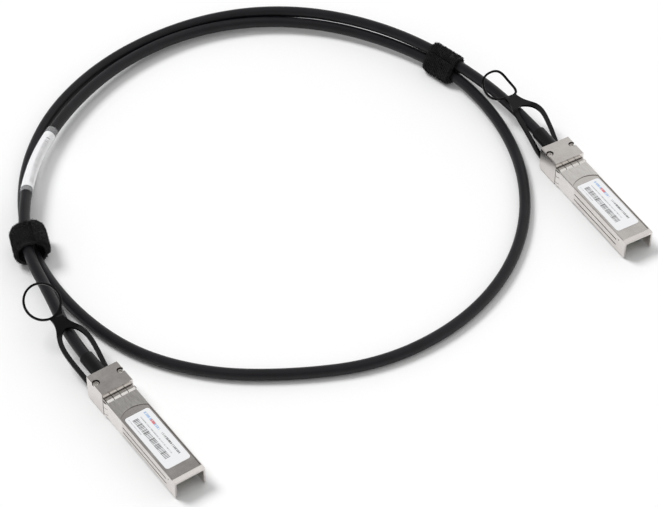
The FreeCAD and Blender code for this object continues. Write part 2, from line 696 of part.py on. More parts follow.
def signal_wires():
    """Two pairs of insulated conductors from the end of the braid to the card."""
    low = CARD_TOP + WIRE_RADIUS
    high = CABLE_AXIS - WIRE_TOP_DROP
    wires = []
    for i in range(4):
        y = (i - 1.5) * WIRE_PITCH
        points = [V(WIRE_FRONT, y, low), V(WIRE_BEND_FRONT, y, low), V(WIRE_BEND_BACK, y, high),
                  V(BRAID_FRONT, y, high)]
        path, _ = bent_path(points, ARC_SHARE)
        wires.append(tube(path, WIRE_RADIUS))
    return Part.makeCompound(wires)


# ---------------------------------------------------------------- cable end
def shield_braid():
    """Braid and conductors where the jacket is stripped."""
    return rod(BRAID_FRONT, CABLE_START, BRAID_RADIUS)


def crimp_ferrule():
    """Crimped ring on the braid."""
    outer = rod(FERRULE_FRONT, FERRULE_FRONT + FERRULE_LENGTH, BRAID_RADIUS + FERRULE_WALL)
    return outer.cut(rod(FERRULE_FRONT - 1, BOOT_FLANGE_FRONT, BRAID_RADIUS + FIT))


def boot():
    """Moulded strain relief: a flange held in the head and a sleeve over the jacket."""
    sleeve = rod(BOOT_FLANGE_FRONT, BOOT_END, BOOT_RADIUS)
    rim = [e for e in sleeve.Edges if e.BoundBox.XMin > BOOT_END - 1e-6]
    sleeve = sleeve.makeFillet(BOOT_ROUND, rim)
    flange = rod(BOOT_FLANGE_FRONT, BOOT_FLANGE_FRONT + BOOT_FLANGE_LENGTH, BOOT_FLANGE_RADIUS)
    shape = sleeve.fuse(flange)
    shape = shape.cut(rod(BOOT_FLANGE_FRONT - 1, CABLE_START, BRAID_RADIUS + FIT))
    return shape.cut(rod(CABLE_START, BOOT_END + 1, CABLE_RADIUS + FIT)).removeSplitter()


def housing_screws():
    """The two screws that hold the castings together, with cross recesses."""
    top = HEAD_TOP - SCREW_HEAD_DEPTH
    screws = []
    for x, y in screw_places():
        head = upright(x, y, top - SCREW_HEAD_HEIGHT, top, SCREW_HEAD_RADIUS)
        rim = [e for e in head.Edges if e.BoundBox.ZMin > top - 1e-6]
        head = head.makeFillet(SCREW_DOME, rim)
        screw = head.fuse(upright(x, y, SCREW_TIP, top - SCREW_HEAD_HEIGHT, SCREW_SHANK_RADIUS))
        for angle in (20, 110):
            arm = block(-RECESS_LENGTH / 2, RECESS_LENGTH / 2, -RECESS_WIDTH / 2, RECESS_WIDTH / 2,
                        top - RECESS_DEPTH, top + 1)
            arm.rotate(V(0, 0, 0), V(0, 0, 1), angle)
            arm.translate(V(x, y, 0))
            screw = screw.cut(arm)
        screws.append(screw.removeSplitter())
    return Part.makeCompound(screws)


# ---------------------------------------------------------------- latch and release
def latch_lever():
    """Rocker that carries the locking boss in front of its pivot and a ramp behind it."""
    ramp_back = RAMP_FRONT + RAMP_LENGTH
    ramp_top = LEVER_TOP + RAMP_LENGTH * RAMP_SLOPE
    outline = [V(LEVER_FRONT, 0, LEVER_BOTTOM), V(LEVER_BACK, 0, LEVER_BOTTOM), V(LEVER_BACK, 0, ramp_top),
               V(ramp_back, 0, ramp_top), V(RAMP_FRONT, 0, LEVER_TOP), V(LEVER_FRONT, 0, LEVER_TOP)]
    face = Part.Face(Part.makePolygon(outline + [outline[0]]))
    face.translate(V(0, -LEVER_HALF_WIDTH, 0))
    lever = face.extrude(V(0, 2 * LEVER_HALF_WIDTH, 0))
    hub = Part.makeCylinder(HUB_RADIUS, 2 * LEVER_HALF_WIDTH,
                            V(PIVOT_FROM_TIP, -LEVER_HALF_WIDTH, PIVOT_HEIGHT), V(0, 1, 0))
    boss_face = Part.Face(Part.makePolygon([
        V(BOSS_SHOULDER - BOSS_LENGTH, -BOSS_HALF_WIDTH, LEVER_BOTTOM),
        V(BOSS_SHOULDER - BOSS_LENGTH, -BOSS_HALF_WIDTH, BODY_BOTTOM),
        V(BOSS_SHOULDER, -BOSS_HALF_WIDTH, BOSS_BOTTOM),
        V(BOSS_SHOULDER, -BOSS_HALF_WIDTH, LEVER_BOTTOM),
        V(BOSS_SHOULDER - BOSS_LENGTH, -BOSS_HALF_WIDTH, LEVER_BOTTOM)]))
    boss = boss_face.extrude(V(0, 2 * BOSS_HALF_WIDTH, 0))
    bore = Part.makeCylinder(PIN_RADIUS + RUNNING, 2 * PIN_HALF_LENGTH,
                             V(PIVOT_FROM_TIP, -PIN_HALF_LENGTH, PIVOT_HEIGHT), V(0, 1, 0))
    return lever.fuse(hub).fuse(boss).cut(bore).removeSplitter()


def latch_pin():
    """Pivot of the rocker, pressed into the lower casting."""
    return Part.makeCylinder(PIN_RADIUS, 2 * PIN_HALF_LENGTH,
                             V(PIVOT_FROM_TIP, -PIN_HALF_LENGTH, PIVOT_HEIGHT), V(0, 1, 0))


def latch_spring():
    """Leaf spring that presses the boss end of the rocker down."""
    half = SPRING_THICKNESS / 2
    line = [(SPRING_FOOT, FLOOR_TOP + half), (SPRING_FOOT + SPRING_FOOT_LENGTH, FLOOR_TOP + half),
            (SPRING_CREST, SPRING_CREST_HEIGHT), (SPRING_TOUCH, LEVER_TOP + FIT + half),
            (SPRING_TOUCH + 1.0, LEVER_TOP + 4 * FIT + half)]
    return strip(line, SPRING_THICKNESS, 0.6, SPRING_HALF_WIDTH)


def release_slider():
    """Stamped fork that joins both arms of the pull tab and carries the cam."""
    bar_back = SLIDER_BAR_FRONT + SLIDER_BAR_LENGTH
    fork = block(SLIDER_BAR_FRONT, bar_back, -SLIDER_LEG_OUTER, SLIDER_LEG_OUTER, SLIDER_BOTTOM, SLIDER_TOP)
    leg = block(SLIDER_BAR_FRONT, SLIDER_LEG_BACK, SLIDER_LEG_INNER, SLIDER_LEG_OUTER, SLIDER_BOTTOM, SLIDER_TOP)
    middle = (SLIDER_LEG_INNER + SLIDER_LEG_OUTER) / 2
    tongue = block(SLIDER_LEG_BACK - 1, SLIDER_LEG_BACK + TONGUE_LENGTH, middle - TONGUE_WIDTH / 2,
                   middle + TONGUE_WIDTH / 2, TAB_ARM_HEIGHT - TONGUE_THICKNESS / 2,
                   TAB_ARM_HEIGHT + TONGUE_THICKNESS / 2)
    for part in both_sides(leg.fuse(tongue)):
        fork = fork.fuse(part)
    carrier = block(bar_back - 1, CAM_BACK, -CAM_HALF_WIDTH, CAM_HALF_WIDTH, SLIDER_BOTTOM, SLIDER_TOP)
    cam = block(CAM_FRONT, CAM_BACK, -CAM_HALF_WIDTH, CAM_HALF_WIDTH, CAM_BOTTOM, SLIDER_TOP)
    return fork.fuse(carrier).fuse(cam).removeSplitter()


def smooth_edge(points):
    """Smooth curve through points seen from above."""
    curve = Part.BSplineCurve()
    curve.interpolate([V(x, y, 0) for x, y in points])
    return curve.toShape()


def straight_edge(start, end):
    """Straight line between two points seen from above."""
    return Part.LineSegment(V(start[0], start[1], 0), V(end[0], end[1], 0)).toShape()


def behind_head(points, side):
    """Points given by distance behind the head and half width, on one side of the tab."""
    return [(PLUG_LENGTH + x, side * y) for x, y in points]


def tab_outline(left, right):
    """The tab from the head to the fold seen from above, without its opening."""
    front = SLIDER_LEG_BACK
    edges = []
    for side, points in ((1, left), (-1, right)):
        start = [(front, side * TAB_ARM_OUTER), (PLUG_LENGTH + TAB_ARM_STRAIGHT / 2, side * TAB_ARM_OUTER)]
        end = [(TAB_FOLD, side * TAB_NECK_HALF_WIDTH)]
        edges.append(smooth_edge(start + behind_head(points, side) + end))
    edges.append(straight_edge((front, TAB_ARM_OUTER), (front, -TAB_ARM_OUTER)))
    edges.append(straight_edge((TAB_FOLD, TAB_NECK_HALF_WIDTH), (TAB_FOLD, -TAB_NECK_HALF_WIDTH)))
    return Part.Face(Part.Wire(Part.__sortEdges__(edges)))


def tab_opening(left, right):
    """The opening between the arms seen from above."""
    front = SLIDER_LEG_BACK - 1
    inner = TAB_ARM_OUTER - TAB_ARM_WIDTH
    back = [(PLUG_LENGTH + OPENING_END, 0)]
    points = [(front, inner), (PLUG_LENGTH, inner)] + behind_head(left, 1) + back
    points += list(reversed(behind_head(right, -1))) + [(PLUG_LENGTH, -inner), (front, -inner)]
    edges = [smooth_edge(points), straight_edge(points[-1], points[0])]
    return Part.Face(Part.Wire(Part.__sortEdges__(edges)))


def neck_flare(hoop_wire):
    """Plate that joins the fold to the hoop, in the hoop's plane, wider where it meets the hoop."""
    wide = TAB_NECK_HALF_WIDTH + HOOP_FILLET
    deep = HOOP_FILLET + HOOP_BAND
    face = Part.Face(Part.Wire([
        straight_edge((0, -TAB_NECK_HALF_WIDTH), (0, TAB_NECK_HALF_WIDTH)),
        smooth_edge([(0, TAB_NECK_HALF_WIDTH), (deep / 3, TAB_NECK_HALF_WIDTH + HOOP_FILLET / 4), (deep, wide)]),
        straight_edge((deep, wide), (deep, -wide)),
        smooth_edge([(deep, -wide), (deep / 3, -TAB_NECK_HALF_WIDTH - HOOP_FILLET / 4), (0, -TAB_NECK_HALF_WIDTH)]),
    ]))
    return face.cut(Part.Face(hoop_wire.makeOffset2D(-HOOP_BAND)))


def pull_tab(outlines, openings, hoop_wire):
    """Soft tab: two arms from the head, a plate over the cable and a finger hoop that stands up."""
    high = TAB_WAIST_HEIGHT + TAB_THICKNESS
    plan = tab_outline(*outlines).cut(tab_opening(*openings))
    line = [(SLIDER_LEG_BACK - 1, TAB_ARM_HEIGHT), (PLUG_LENGTH + TAB_ARM_STRAIGHT, TAB_ARM_HEIGHT),
            (TAB_RISE_END, TAB_WAIST_HEIGHT), (TAB_FOLD, TAB_WAIST_HEIGHT)]
    tab = slab(plan, 0, high).common(strip(line, TAB_THICKNESS, TAB_BEND, BODY_WIDTH))
    ring = Part.Face(hoop_wire).cut(Part.Face(hoop_wire.makeOffset2D(-HOOP_BAND)))
    half = TAB_THICKNESS / 2
    raised = slab(ring, -half, half).fuse(slab(neck_flare(hoop_wire), -half, half))
    raised.rotate(V(0, 0, 0), V(0, 1, 0), -TAB_FOLD_ANGLE)
    raised.translate(V(TAB_FOLD, 0, TAB_WAIST_HEIGHT))
    fold = Part.makeCylinder(half, 2 * TAB_NECK_HALF_WIDTH, V(TAB_FOLD, -TAB_NECK_HALF_WIDTH, TAB_WAIST_HEIGHT),
                             V(0, 1, 0))
    tab = tab.fuse(fold).fuse(raised)
    middle = (SLIDER_LEG_INNER + SLIDER_LEG_OUTER) / 2
    pocket = block(SLIDER_LEG_BACK - 1, SLIDER_LEG_BACK + TONGUE_LENGTH + FIT,
                   middle - TONGUE_WIDTH / 2 - FIT, middle + TONGUE_WIDTH / 2 + FIT,
                   TAB_ARM_HEIGHT - TONGUE_THICKNESS / 2 - FIT, TAB_ARM_HEIGHT + TONGUE_THICKNESS / 2 + FIT)
    return cut_all(tab, both_sides(pocket)).removeSplitter()


def round_hoop():
    """Outline of the finger hoop in its moulded, round form."""
    return Part.Wire(Part.makeCircle(HOOP_RADIUS, V(HOOP_CENTRE[0], HOOP_CENTRE[1], 0)))


def pressed_hoop():
    """Outline of the finger hoop that has been pressed out of round."""
    return rounded_outline([V(x, y, 0) for x, y in PRESSED_HOOP], PRESSED_RADII)


# ---------------------------------------------------------------- label on the plug
def plug_label():
    """Blank label with rounded corners in its pocket."""
    half = LABEL_WIDTH / 2
    back = LABEL_BACK
    face = plan_face([(LABEL_FRONT, -half), (back, -half), (back, half), (LABEL_FRONT, half)],
                     (LABEL_CORNER,) * 4)
    return slab(face, POCKET_FLOOR, POCKET_FLOOR + LABEL_THICKNESS)


# ---------------------------------------------------------------- straps and cable label
def strap(outline, radii, wall, width, flap_cut):
    """Hook-and-loop strap round the cable: a band, and its end lapped over the outside.

    The outline is the outside of the band looking along the cable; flap_cut is what keeps the
    lapped end to one part of the way round.
    """
    outer = rounded_outline([V(0, y, z) for y, z in outline], radii)
    face = Part.Face(outer)
    loop = face.cut(Part.Face(outer.makeOffset2D(-wall)))
    half = width / 2
    band = loop.extrude(V(width, 0, 0))
    band.translate(V(-half, 0, 0))
    lap = Part.Face(outer.makeOffset2D(STRAP_LAP)).cut(face)
    lap = lap.extrude(V(width - 2 * STRAP_LAP_INSET, 0, 0))
    lap.translate(V(STRAP_LAP_INSET - half, 0, 0))
    return band.fuse(lap.common(flap_cut)).removeSplitter()


def left_strap():
    """Loose strap round both strands beside plug A."""
    width, height = LEFT_STRAP_SIZE
    half = width / 2
    outline = [(-half, 0), (half, 0), (half, height), (-half, height)]
    keep = block(-LEFT_STRAP_WIDTH, LEFT_STRAP_WIDTH, -half - 2, -half / 3, height / 3, height + 2)
    shape = strap(outline, LEFT_STRAP_RADII, STRAP_SHEET, LEFT_STRAP_WIDTH, keep)
    return put(shape, LEFT_STRAP, LEFT_STRAP_YAW)


def upper_strap():
    """Snug strap round both strands at the far side of the loop."""
    y0, z0 = UPPER_STRAND_LOW
    y1, z1 = UPPER_STRAND_HIGH
    radius = CABLE_RADIUS + STRAP_SLACK + UPPER_STRAP_SHEET
    run = V(0, y1 - y0, z1 - z0)
    reach = run.Length + 2 * radius
    tilt = math.degrees(math.atan2(z1 - z0, y1 - y0))
    outline = [(-reach / 2, -radius), (reach / 2, -radius), (reach / 2, radius), (-reach / 2, radius)]
    keep = block(-UPPER_STRAP_WIDTH, UPPER_STRAP_WIDTH, -reach, reach / 5, -radius * 2, -radius / 3)
    shape = strap(outline, (radius - 0.01,) * 4, UPPER_STRAP_SHEET, UPPER_STRAP_WIDTH, keep)
    shape.rotate(V(0, 0, 0), V(1, 0, 0), tilt)
    shape.translate(V(0, (y0 + y1) / 2, (z0 + z1) / 2))
    return put(shape, UPPER_STRAP, UPPER_STRAP_YAW)


def piece_of(path, start, length):
    """Part of a path, given where it starts and how long it is."""
    edges = []
    passed = 0.0
    for edge in path.OrderedEdges:
        low = max(start - passed, 0.0)
        high = min(start + length - passed, edge.Length)
        if high - low > 1e-4:
            first = edge.getParameterByLength(low)
            last = edge.getParameterByLength(high)
            edges.append(edge.Curve.toShape(first, last))
        passed += edge.Length
    return Part.Wire(edges)


def sleeve_on(path, inner, outer):
    """Thin sleeve that follows a path."""
    return tube(path, outer).cut(tube(path, inner))


# ---------------------------------------------------------------- assembly
def put(shape, tip, yaw):
    """Turn a part about the vertical and set it down."""
    shape.rotate(V(0, 0, 0), V(0, 0, 1), yaw)
    shape.translate(V(tip[0], tip[1], 0))
    return shape


def lie_at(end, neighbour):
    """Where a plug's tip lies and which way it points, given the cable's end in it and the next corner."""
    run = V(neighbour[0] - end[0], neighbour[1] - end[1], 0).normalize()
    tip = (end[0] - run.x * CABLE_START, end[1] - run.y * CABLE_START)
    return tip, math.degrees(math.atan2(run.y, run.x))


def plug_parts(tab):
    """All pieces of one plug in the plug's own frame."""
    return {
        "top_housing": top_housing(),
        "bottom_housing": bottom_housing(),
        "spring_collar": spring_collar(),
        "paddle_card": paddle_card(),
        "contact_pads": contact_pads(),
        "card_chips": card_chips(),
        "signal_wires": signal_wires(),
        "shield_braid": shield_braid(),
        "crimp_ferrule": crimp_ferrule(),
        "boot": boot(),
        "housing_screws": housing_screws(),
        "latch_lever": latch_lever(),
        "latch_pin": latch_pin(),
        "latch_spring": latch_spring(),
        "release_slider": release_slider(),
        "pull_tab": tab,
        "plug_label": plug_label(),
    }


def main():
    os.makedirs("parts", exist_ok=True)
    nodes = {}
    tab_a = pull_tab((OUTLINE_EVEN, OUTLINE_EVEN), (OPENING_EVEN, OPENING_EVEN), round_hoop())
    tab_b = pull_tab((OUTLINE_FLAT, OUTLINE_BOWED), (OPENING_FLAT, OPENING_BOWED), pressed_hoop())
    tip, yaw = lie_at(ROUTE[0], ROUTE[1])
    for name, shape in plug_parts(tab_a).items():
        nodes[name + "_a"] = put(shape, tip, yaw)
    tip, yaw = lie_at(ROUTE[-1], ROUTE[-2])
    for name, shape in plug_parts(tab_b).items():
        nodes[name + "_b"] = put(shape, tip, yaw)

    path, radii = bent_path([V(*point) for point in ROUTE], ARC_SHARE)
    cable = tube(path, CABLE_RADIUS)
    nodes["cable"] = cable
    section = math.pi * CABLE_RADIUS ** 2
    print("cable: length %.1f mm, volume / (section x length) %.4f" % (path.Length,
                                                                     cable.Volume / (section * path.Length)))
    print("bend radii, mm:", " ".join("%.0f" % r for r in radii))

    middle = piece_of(path, SLEEVE_START, SLEEVE_LENGTH)
    paper = piece_of(path, SLEEVE_START + SLEEVE_BORDER, SLEEVE_LENGTH - 2 * SLEEVE_BORDER)
    inside = CABLE_RADIUS + FIT
    nodes["cable_label"] = sleeve_on(paper, inside, inside + PAPER_THICKNESS)
    film = inside + PAPER_THICKNESS + FIT
    nodes["label_film"] = sleeve_on(middle, film, film + FILM_THICKNESS)
    nodes["left_strap"] = left_strap()
    nodes["upper_strap"] = upper_strap()

    for name, shape in nodes.items():
        box = shape.BoundBox
        ok = shape.isValid()
        print("%-18s %9.2f mm3  %d solids  x %.1f..%.1f y %.1f..%.1f z %.2f..%.2f%s" % (
            name, shape.Volume, len(shape.Solids), box.XMin, box.XMax, box.YMin, box.YMax, box.ZMin, box.ZMax,
            "" if ok else "  INVALID"))
        shape.exportStep("parts/%s.step" % name)


main()
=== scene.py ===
"""Looks for the direct attach copper cable.

Materials, the smooth cable, hooks on the straps, finer pull tabs, floor, light and camera.
"""

import json
import math
import random

import bmesh
import bpy
from mathutils import Matrix, Vector

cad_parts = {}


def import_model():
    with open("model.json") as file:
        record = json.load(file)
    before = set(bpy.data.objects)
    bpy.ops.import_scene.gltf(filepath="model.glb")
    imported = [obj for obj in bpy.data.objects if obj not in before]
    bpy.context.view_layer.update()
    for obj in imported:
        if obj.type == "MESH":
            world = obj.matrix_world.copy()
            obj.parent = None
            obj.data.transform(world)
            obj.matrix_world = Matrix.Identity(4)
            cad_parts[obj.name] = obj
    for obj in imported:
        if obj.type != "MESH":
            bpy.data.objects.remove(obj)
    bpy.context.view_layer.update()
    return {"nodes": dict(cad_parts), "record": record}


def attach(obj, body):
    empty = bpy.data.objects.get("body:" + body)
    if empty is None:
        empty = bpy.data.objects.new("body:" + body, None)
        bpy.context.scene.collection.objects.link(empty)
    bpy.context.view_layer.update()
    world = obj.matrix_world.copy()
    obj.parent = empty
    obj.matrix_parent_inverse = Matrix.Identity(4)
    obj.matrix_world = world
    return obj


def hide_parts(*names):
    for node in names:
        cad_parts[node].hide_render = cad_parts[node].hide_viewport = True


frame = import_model()
nodes = frame["nodes"]

MM = 0.001

# ---------------------------------------- the cable and its wrap, in millimetres and degrees
CABLE_RADIUS = 2.35
ROUTE = [
    (-111.0, 12.1, 7.5), (-111.0, 32.6, 7.5), (-105.7, 55.6, 7.7), (-101.4, 82.6, 8.9),
    (-86.6, 109.0, 8.4), (-66.6, 131.6, 5.95), (-38.7, 150.2, 4.8), (-7.2, 161.1, 4.35),
    (25.9, 162.0, 4.1), (57.0, 150.9, 3.9), (81.7, 129.6, 3.85), (98.7, 101.3, 3.95),
    (107.8, 70.4, 3.95), (105.9, 37.4, 2.9), (94.7, 6.6, 2.45), (74.3, -20.0, 2.42),
    (46.9, -38.6, 2.42), (14.9, -47.2, 2.42), (-18.1, -44.9, 2.42), (-47.7, -30.7, 2.42),
    (-74.2, -11.5, 2.42), (-92.8, 14.2, 2.5), (-100.4, 44.6, 3.2), (-100.1, 75.9, 4.3),
    (-90.2, 105.6, 3.15), (-72.1, 132.8, 2.5), (-46.2, 154.3, 2.65), (-14.0, 166.1, 3.55),
    (18.4, 167.4, 4.55), (48.2, 160.0, 5.6), (72.5, 143.9, 6.9), (90.9, 121.5, 7.8),
    (103.6, 95.2, 8.2), (110.2, 67.3, 7.95), (113.0, 38.6, 7.5), (110.44, 10.335, 7.5),
]
WRAP_MIDDLE = (-70.9, 126.4, 6.9)
WRAP_YAW = 45.0
WRAP_SAG = 0.005
TICKS_ALONG = (-15.0, 14.0)
TICKS_ACROSS = (-2.0, -0.5)
TICK_PITCH = 1.1
TICK_SHARE = 0.5
TICK_SEED = 7.0
TICK_STRENGTH = 0.55

# ---------------------------------------- the straps and their hooks, in millimetres and degrees
LEFT_STRAP = (-97.0, 87.45)
LEFT_STRAP_YAW = 69.7
UPPER_STRAP = (107.0, 78.1)
UPPER_STRAP_YAW = 101.0
STRAP_MIDDLE = 6.0
HOOKS = 4200
HOOK_PITCH = 0.9
HOOK_HEIGHT = 0.6
HOOK_THICKNESS = 0.22
HOOK_SCATTER = 0.6
SHORTEST_HOOK = 0.5
ROW_PULL = 0.8
RIM_NORMAL = 0.7
FLAT_NORMAL = 0.3
# a hook's upper rings: how far up and how far sideways in parts of its height, and share of its thickness
HOOK_RINGS = ((0.7, 0.0, 0.9), (1.0, 0.6, 0.7))

# ---------------------------------------- the plugs and their pull tabs, in millimetres and degrees
# each plug's tip on the floor plan and its heading
PLUGS = {"a": ((-111.0, -53.4), 90.0), "b": ((104.532, -54.898), 84.825)}
TAB_FOLD = 95.5
TAB_WAIST_HEIGHT = 10.85
TAB_FOLD_ANGLE = 33.0
TAB_THICKNESS = 0.85
TAB_CUT_MARGIN = 0.03
TAB_WELD = 0.001
TAB_SHARP_ANGLE = 32
LOOP_BAND = 0.95
LOOP_CHAMFER = 0.14
LOOP_STEPS = 5
# the loops and the flare lie in a plane that starts at the fold: away from the plug, and across it
LOOP_CENTRE = (7.8, 2.0)
LOOP_RADIUS = 7.43
ROUND_POINTS = 12
FLARE_LOW = [(-0.05, -2.7), (1.2, -3.15), (2.3, -3.65)]
FLARE_HIGH = [(0.45, 3.5), (-0.05, 2.7)]
FLARE_ARC = (238.6, 156.9)
FLARE_STEPS = 12
PRESSED_LOOP = [
    (1.1, -3.4), (2.5, -3.5), (4.3, -3.0), (6.9, -2.2), (9.6, -1.4), (11.5, -0.3), (12.5, 1.4),
    (12.7, 3.8), (12.2, 6.2), (10.8, 8.1), (8.3, 9.4), (5.7, 9.7), (3.4, 9.1), (1.8, 7.7),
    (0.6, 5.5), (0.2, 3.2), (-0.1, 0.9), (-0.1, -1.3), (0.4, -2.8),
]

# ---------------------------------------- colours and looks
# painted shade: the colour the castings darken to in grooves and corners, and how far that darkening reaches
CREVICE_SHADE = (0.06, 0.05, 0.045)
CREVICE_SHADE_REACH = 1.2
LABEL_WHITE = (0.80, 0.805, 0.82)
WRAP_WHITE = (0.93, 0.93, 0.94)
LABEL_INK = (0.03, 0.03, 0.035)
LABEL_BLUE = (0.10, 0.30, 0.62)
LABEL_RED = (0.66, 0.12, 0.10)
# the straps' dark ground, and the lighter colour of their random tone and of the painted highlight on the rows
# of hooks
STRAP_DARK = (0.001, 0.001, 0.0012)
STRAP_TONE_AND_HIGHLIGHT = (0.022, 0.022, 0.023)
NOISE_SPAN = (0.3, 0.7)
BROAD_GRAIN = (90.0, 4.0, 0.6)
ALONG_SHEET = (2500.0, 300.0, 2500.0)
# rows of a plug's print: limits along and across the plug, pitch, share of ink, seed, strength and colour
PRINT_ROWS = (
    ((11.8, 34.8), (0.8, 3.2), 0.66, 0.58, 3.0, 0.85, LABEL_INK),
    ((13.0, 34.6), (-0.7, -0.2), 0.7, 0.6, 40.0, 0.5, LABEL_INK),
    ((27.0, 35.8), (3.9, 4.3), 0.6, 0.6, 90.0, 0.4, LABEL_INK),
    ((11.3, 23.4), (-3.3, -2.4), 0.8, 0.62, 150.0, 0.8, LABEL_INK),
    ((25.4, 36.0), (-3.5, -2.4), 0.9, 0.72, 210.0, 0.6, LABEL_BLUE),
)
RED_BARS = (28.6, 31.2)
RED_STRENGTH = 0.8


# ---------------------------------------- material building
class Nodes:
    """Small helper that adds shader nodes to a material and links them."""

    def __init__(self, name):
        self.material = bpy.data.materials.new(name)
        self.material.use_nodes = True
        self.tree = self.material.node_tree
        self.tree.nodes.clear()
        out = self.tree.nodes.new("ShaderNodeOutputMaterial")
        self.bsdf = self.tree.nodes.new("ShaderNodeBsdfPrincipled")
        self.tree.links.new(self.bsdf.outputs[0], out.inputs[0])

    def add(self, kind, **values):
        node = self.tree.nodes.new(kind)
        for key, value in values.items():
            if hasattr(node, key):
                setattr(node, key, value)
            else:
                self.set(node, key.replace("_", " ").title(), value)
        return node

    def set(self, node, socket, value):
        if isinstance(value, bpy.types.NodeSocket):
            self.tree.links.new(value, node.inputs[socket])
        else:
            node.inputs[socket].default_value = value

    def shade(self, socket, value):
        if isinstance(value, tuple) and len(value) == 3:
            value = value + (1.0,)
        self.set(self.bsdf, socket, value)

    def place(self):
        """Coordinates in metres in the row frame."""
        return self.add("ShaderNodeTexCoord").outputs["Object"]

    def local(self, x, y, z, yaw):
        """Coordinates in millimetres in a frame of its own, turned about the vertical."""
        node = self.add("ShaderNodeMapping", vector_type="TEXTURE")
        self.set(node, "Vector", self.place())
        self.set(node, "Location", (x * MM, y * MM, z * MM))
        self.set(node, "Rotation", (0, 0, math.radians(yaw)))
        self.set(node, "Scale", (MM, MM, MM))
        return node.outputs[0]

    def scaled(self, vector, scale):
        node = self.add("ShaderNodeVectorMath", operation="MULTIPLY")
        self.set(node, 0, vector)
        self.set(node, 1, scale)
        return node.outputs[0]

    def noise(self, vector, scale, detail, rough):
        node = self.add("ShaderNodeTexNoise")
        self.set(node, "Vector", vector)
        self.set(node, "Scale", scale)
        self.set(node, "Detail", detail)
        self.set(node, "Roughness", rough)
        return node.outputs[0]

    def math(self, operation, a, b=None):
        node = self.add("ShaderNodeMath", operation=operation)
        self.set(node, 0, a)
        if b is not None:
            self.set(node, 1, b)
        return node.outputs[0]

    def range(self, value, low, high, to_low, to_high):
        node = self.add("ShaderNodeMapRange")
        for socket, v in (("Value", value), ("From Min", low), ("From Max", high),
                          ("To Min", to_low), ("To Max", to_high)):
            self.set(node, socket, v)
        return node.outputs[0]

    def spread(self, noise, to_low, to_high):
        """Noise stretched over a range of values."""
        return self.range(noise, *NOISE_SPAN, to_low, to_high)

    def mix(self, share, a, b):
        node = self.add("ShaderNodeMix", data_type="RGBA")
        self.set(node, 0, share)
        for index, value in ((6, a), (7, b)):
            if isinstance(value, tuple):
                value = value + (1.0,)
            self.set(node, index, value)
        return node.outputs[2]

    def bump(self, height, strength, distance):
        node = self.add("ShaderNodeBump")
        self.set(node, "Height", height)
        self.set(node, "Strength", strength)
        self.set(node, "Distance", distance)
        self.set(self.bsdf, "Normal", node.outputs[0])

    def axes(self, vector):
        """The three numbers of a vector."""
        node = self.add("ShaderNodeSeparateXYZ")
        self.set(node, 0, vector)
        return node.outputs[0], node.outputs[1], node.outputs[2]

    def within(self, value, low, high):
        """1 between two limits, else 0."""
        above = self.math("GREATER_THAN", value, low)
        below = self.math("LESS_THAN", value, high)
        return self.math("MULTIPLY", above, below)

    def patch(self, x, y, x_limits, y_limits):
        """1 inside a rectangle, else 0."""
        return self.math("MULTIPLY", self.within(x, *x_limits), self.within(y, *y_limits))

    def bars(self, value, pitch, share, seed):
        """Bars of uneven width, one to each step of the pitch."""
        steps = self.math("DIVIDE", value, pitch)
        node = self.add("ShaderNodeTexWhiteNoise", noise_dimensions="1D")
        self.set(node, "W", self.math("ADD", self.math("FLOOR", steps), seed))
        width = self.range(node.outputs[0], 0.0, 1.0, share * 0.45, share * 1.55)
        return self.math("LESS_THAN", self.math("FRACT", steps), width)

    def crevice(self, reach, darkest):
        """Shade that falls from 1 in the open to the darkest value in grooves and corners."""
        node = self.add("ShaderNodeAmbientOcclusion")
        node.inputs["Distance"].default_value = reach
        return self.range(node.outputs[1], 0.35, 0.8, darkest, 1.0)


def cast_metal(name, dark, light, rough_low, rough_high):
    """Plated die casting: broad tone changes, satin grain and fine pits, with painted shade darkening its
    grooves and corners.
    """
    m = Nodes(name)
    at = m.place()
    broad = m.noise(at, *BROAD_GRAIN)
    fine = m.noise(at, 900.0, 4.0, 0.6)
    tone = m.mix(m.spread(broad, 0.0, 1.0), dark, light)
    # painted shade: the base colour darkened towards the shade colour in grooves and corners
    m.shade("Base Color", m.mix(m.crevice(CREVICE_SHADE_REACH * MM, 0.0), CREVICE_SHADE, tone))
    m.shade("Metallic", 1.0)
    m.shade("Roughness", m.spread(broad, rough_low, rough_high))
    m.bump(fine, 0.12, 0.00008)
    return m.material


def brushed_metal(name, dark, light, rough, stretch):
    """Sheet or turned metal with fine lines along one direction."""
    m = Nodes(name)
    at = m.place()
    lines = m.noise(m.scaled(at, stretch), 1.0, 4.0, 0.6)
    m.shade("Base Color", m.mix(m.spread(lines, 0.0, 1.0), dark, light))
    m.shade("Metallic", 1.0)
    m.shade("Roughness", m.spread(lines, rough * 0.8, rough * 1.25))
    m.bump(lines, 0.08, 0.00005)
    return m.material


def moulded(name, dark, light, rough, grain, depth, specular=0.5):
    """Moulded polymer or rubber with a fine skin texture."""
    m = Nodes(name)
    at = m.place()
    broad = m.noise(at, 120.0, 3.0, 0.55)
    fine = m.noise(at, grain, 3.0, 0.55)
    m.shade("Base Color", m.mix(m.spread(broad, 0.0, 1.0), dark, light))
    m.shade("Roughness", m.spread(fine, rough * 0.85, rough * 1.15))
    m.shade("Specular IOR Level", specular)
    m.bump(fine, 0.2, depth)
    return m.material


